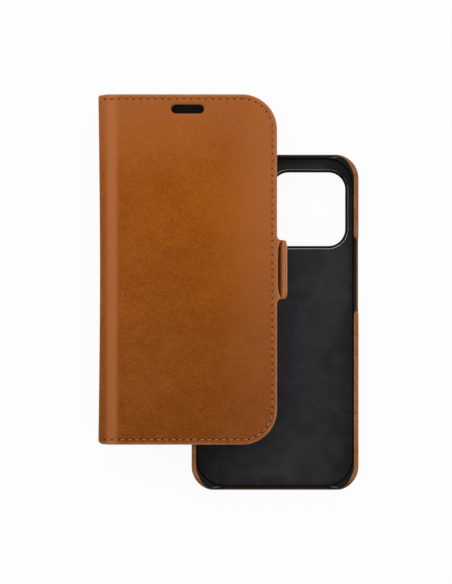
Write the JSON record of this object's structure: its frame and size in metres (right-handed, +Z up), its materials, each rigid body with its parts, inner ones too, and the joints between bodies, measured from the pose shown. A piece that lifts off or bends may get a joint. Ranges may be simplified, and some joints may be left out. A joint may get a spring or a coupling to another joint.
{
  "type": "phone wallet case",
  "caption": "Tan leather folio wallet for a phone, with card pockets, a closing strap and a detachable phone tray that docks inside it on magnets.",
  "frame": {"origin": "middle of the base of the whole case as it lies: on the surface under the back cover, half way across and along the wallet and the slid-out tray together", "axes": "+Z up, out of the front cover; +Y along the spine, towards the end with the speaker slot; +X from the spine towards the fore edge and the strap"},
  "size_m": [0.1182, 0.1798, 0.021],
  "materials": {
    "tan_leather": "smooth waxed full-grain leather, tan",
    "strap_leather": "smooth waxed full-grain leather, tan",
    "tray_leather": "thin smooth leather wrap, tan",
    "pocket_leather": "thin split leather, tan",
    "board": "grey stiffening board",
    "lining": "dark brown suede-like lining",
    "microfibre": "charcoal microfibre",
    "black_shell": "matt black polycarbonate",
    "steel": "thin plated steel",
    "magnet": "nickel-plated magnet"
  },
  "bodies": {
    "back_cover": {"back_outer_leather": "tan_leather", "back_board": "board", "back_lining": "lining", "dock_magnet_1": "magnet", "dock_magnet_2": "magnet", "dock_magnet_3": "magnet", "dock_magnet_4": "magnet", "strap_catch_plate": "steel"},
    "spine": {"spine_leather": "tan_leather", "spine_board": "board", "spine_lining": "lining"},
    "front_cover": {"front_outer_leather": "tan_leather", "front_board": "board", "front_lining": "lining", "cash_pocket": "pocket_leather", "card_pocket_1": "pocket_leather", "card_pocket_2": "pocket_leather", "card_pocket_3": "pocket_leather"},
    "strap": {"strap_leather": "strap_leather", "strap_board": "board", "strap_magnet": "magnet", "strap_lining": "lining"},
    "tray": {"tray_leather": "tray_leather", "tray_shell": "black_shell", "tray_lining": "microfibre", "camera_ring": "black_shell", "dock_plate_upper": "steel", "dock_plate_lower": "steel"}
  },
  "joints": [
    {"name": "spine_hinge", "type": "hinge", "parent": "back_cover", "child": "spine", "pos_m": [-0.0591, 0.0105, 0], "axis": [0, -1, 0], "range_deg": [0, 90]},
    {"name": "cover_hinge", "type": "hinge", "parent": "spine", "child": "front_cover", "pos_m": [-0.0591, 0.0105, 0.021], "axis": [0, -1, 0], "range_deg": [0, 90]},
    {"name": "strap_hinge", "type": "hinge", "parent": "front_cover", "child": "strap", "pos_m": [0.0242, 0.0105, 0.021], "axis": [0, -1, 0], "range_deg": [0, 150]},
    {"name": "tray_slide", "type": "slide", "parent": "back_cover", "child": "tray", "axis": [-0.848, 0.53, 0], "range_m": [-0.055, 0.04528]}
  ],
  "couplings": [
    {"joint": "strap_hinge", "follows": "cover_hinge", "ratio": 1.6667}
  ]
}
